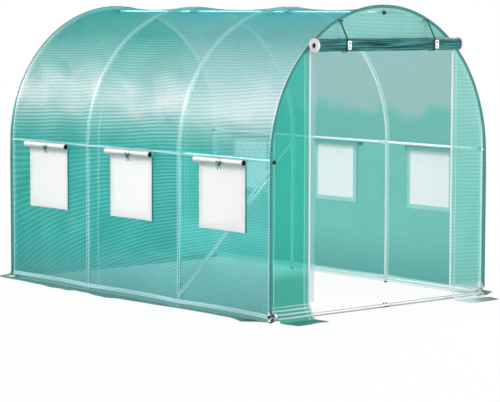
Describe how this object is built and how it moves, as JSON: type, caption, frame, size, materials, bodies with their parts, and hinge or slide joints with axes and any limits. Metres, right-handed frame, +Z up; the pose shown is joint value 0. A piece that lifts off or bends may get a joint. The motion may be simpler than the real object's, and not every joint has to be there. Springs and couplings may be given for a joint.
{
  "type": "polytunnel greenhouse",
  "caption": "Walk-in polytunnel greenhouse: a round-topped steel tube frame under a clear green film cover, with a roll-up door and netted side windows.",
  "frame": {"origin": "on the ground under the middle of the tunnel", "axes": "+X to the right for someone facing the door, +Y towards the rear wall, +Z up"},
  "size_m": [2.3296, 3.3302, 2.0848],
  "materials": {
    "galvanised_tube": "satin",
    "cover_film": "glossy translucent film with a woven grid",
    "window_net": "matte fine mesh",
    "flap_film": "satin rolled film",
    "door_film": "glossy rolled film",
    "tie_webbing": "matte webbing",
    "edge_tape": "matte tape",
    "foot_plastic": "matte"
  },
  "bodies": {
    "root": {"door_roll": "door_film", "door_tapes": "edge_tape", "door_ties": "tie_webbing", "foot_caps": "foot_plastic", "front_ground_bar": "galvanised_tube", "front_left_skirt": "cover_film", "front_panel_left": "cover_film", "front_panel_right": "cover_film", "front_panel_top": "cover_film", "front_right_skirt": "cover_film", "hoop_front": "galvanised_tube", "hoop_rear": "galvanised_tube", "hoop_second": "galvanised_tube", "hoop_third": "galvanised_tube", "left_front_brace": "galvanised_tube", "left_ground_rail": "galvanised_tube", "left_roof_front": "cover_film", "left_roof_middle": "cover_film", "left_roof_rear": "cover_film", "left_side_rail": "galvanised_tube", "left_skirt": "cover_film", "left_wall_front": "cover_film", "left_wall_middle": "cover_film", "left_wall_rear": "cover_film", "left_window_flaps": "flap_film", "left_window_nets": "window_net", "rear_ground_bar": "galvanised_tube", "rear_panel": "cover_film", "rear_skirt": "cover_film", "ridge_pole": "galvanised_tube", "right_ground_rail": "galvanised_tube", "right_rear_brace": "galvanised_tube", "right_roof_front": "cover_film", "right_roof_middle": "cover_film", "right_roof_rear": "cover_film", "right_side_rail": "galvanised_tube", "right_skirt": "cover_film", "right_wall_front": "cover_film", "right_wall_middle": "cover_film", "right_wall_rear": "cover_film", "right_window_flaps": "flap_film", "right_window_nets": "window_net"}
  },
  "joints": []
}
